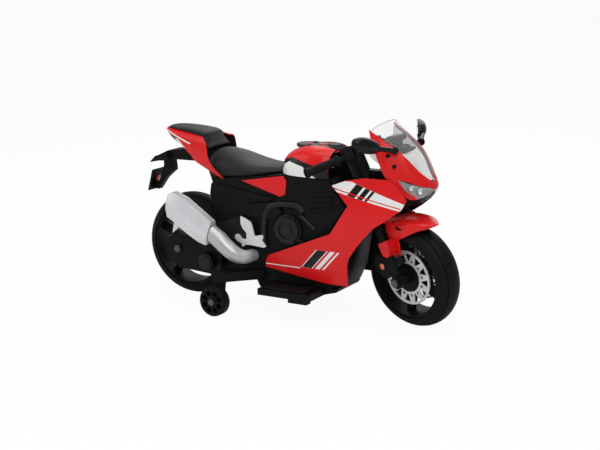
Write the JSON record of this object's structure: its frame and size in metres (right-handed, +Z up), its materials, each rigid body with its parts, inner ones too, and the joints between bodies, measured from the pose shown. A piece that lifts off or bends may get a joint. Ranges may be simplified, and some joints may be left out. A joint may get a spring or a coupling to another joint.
{
  "type": "ride-on toy motorcycle",
  "caption": "Child's battery ride-on sport motorcycle: steered raked fork, faired body, foot pedal, stabiliser wheels on outrigger arms and a hollow rear wheel driven by a geared motor.",
  "frame": {"origin": "middle of the bounding box in plan, on the floor under the wheels", "axes": "+X forward, +Y to the rider's left, +Z up; the fork is at rest turned eighteen degrees to the right"},
  "size_m": [0.9968, 0.422, 0.555],
  "materials": {
    "black_plastic": "moulded, fine grain",
    "grey_plastic": "moulded, satin",
    "white_plastic": "moulded, gloss",
    "red_plastic": "moulded in colour, gloss",
    "silver_plastic": "silver painted",
    "clear_plastic": "clear, polished",
    "red_lens": "prismatic lens",
    "red_button": "moulded, gloss",
    "tyre_plastic": "blow moulded, matt",
    "rubber": "moulded, ribbed",
    "steel": "zinc plated",
    "black_steel": "black powder coat",
    "motor_can": "plain",
    "seat_cover": "black leatherette",
    "mirror": "silvered"
  },
  "bodies": {
    "body": {"rear_axle": "steel", "rear_fork_right": "black_plastic", "rear_fork_left": "black_plastic", "gearbox_housing": "grey_plastic", "motor": "motor_can", "stabiliser_arm_right": "black_plastic", "stabiliser_arm_left": "black_plastic", "stabiliser_bolts": "steel", "frame_spine": "black_steel", "body_half_right": "black_plastic", "body_half_left": "black_plastic", "engine_covers": "black_plastic", "battery": "black_plastic", "control_unit": "grey_plastic", "belly_pan": "black_plastic", "footboard_right": "black_plastic", "footboard_left": "black_plastic", "radiator_cover": "black_plastic", "side_fairing_right": "red_plastic", "side_fairing_left": "red_plastic", "nose_fairing": "red_plastic", "windscreen": "clear_plastic", "headlight_lenses": "clear_plastic", "nose_chin": "black_plastic", "dash_panel": "grey_plastic", "mirror_housings": "black_plastic", "mirror_glasses": "mirror", "tank_cover": "red_plastic", "tank_console": "grey_plastic", "seat": "seat_cover", "pillion_pad": "seat_cover", "tail_cowl": "red_plastic", "tail_frame": "black_plastic", "plate_holder": "black_plastic", "rear_reflector": "red_lens", "exhaust_silencer": "silver_plastic", "exhaust_pipe": "black_plastic", "heel_plates": "silver_plastic", "side_covers": "red_plastic"},
    "steering": {"steering_stem": "steel", "fork_yokes": "black_plastic", "fork_tubes": "steel", "fork_lowers": "black_plastic", "fork_guards": "red_plastic", "front_axle": "steel", "front_fender": "red_plastic", "handlebars": "black_steel", "grips": "rubber"},
    "front_wheel": {"front_tyre": "tyre_plastic", "front_rim": "black_plastic", "brake_discs": "silver_plastic"},
    "rear_wheel": {"rear_tyre": "tyre_plastic", "rear_rim": "black_plastic", "drive_dog": "white_plastic"},
    "stabiliser_right": {"stabiliser_wheel_right": "black_plastic"},
    "stabiliser_left": {"stabiliser_wheel_left": "black_plastic"},
    "pedal": {"foot_pedal": "black_plastic"},
    "horn": {"horn_button": "red_button"},
    "music": {"music_button": "grey_plastic"},
    "rocker": {"power_rocker": "red_button"}
  },
  "joints": [
    {"name": "steering", "type": "hinge", "parent": "body", "child": "steering", "pos_m": [0.16606, 0, 0.47776], "axis": [-0.4384, 0, 0.8988], "range_deg": [-4, 40]},
    {"name": "front_wheel_spin", "type": "hinge", "parent": "steering", "child": "front_wheel", "pos_m": [0.35877, -0.00865, 0.1434], "axis": [0.2777, 0.9511, 0.1355], "continuous": true},
    {"name": "rear_wheel_spin", "type": "hinge", "parent": "body", "child": "rear_wheel", "pos_m": [-0.348, 0, 0.15], "axis": [0, 1, 0], "continuous": true},
    {"name": "stabiliser_right_spin", "type": "hinge", "parent": "body", "child": "stabiliser_right", "pos_m": [-0.165, -0.19, 0.042], "axis": [0, 1, 0], "continuous": true},
    {"name": "stabiliser_left_spin", "type": "hinge", "parent": "body", "child": "stabiliser_left", "pos_m": [-0.165, 0.19, 0.042], "axis": [0, 1, 0], "continuous": true},
    {"name": "pedal_press", "type": "hinge", "parent": "body", "child": "pedal", "pos_m": [-0.026, -0.125, 0.084], "axis": [0, 1, 0], "range_deg": [0, 5], "stiffness_Nm_per_rad": 1, "springref_deg": -9.74},
    {"name": "horn_press", "type": "slide", "parent": "body", "child": "horn", "axis": [0, 0, -1], "range_m": [0, 0.0017], "stiffness_N_per_m": 200, "springref_m": -0.003},
    {"name": "music_press", "type": "slide", "parent": "body", "child": "music", "axis": [0, 0, -1], "range_m": [0, 0.0017], "stiffness_N_per_m": 200, "springref_m": -0.003},
    {"name": "power_rocker_tilt", "type": "hinge", "parent": "body", "child": "rocker", "pos_m": [0.076, 0, 0.4712], "axis": [0, 1, 0], "range_deg": [-8, 8]}
  ]
}
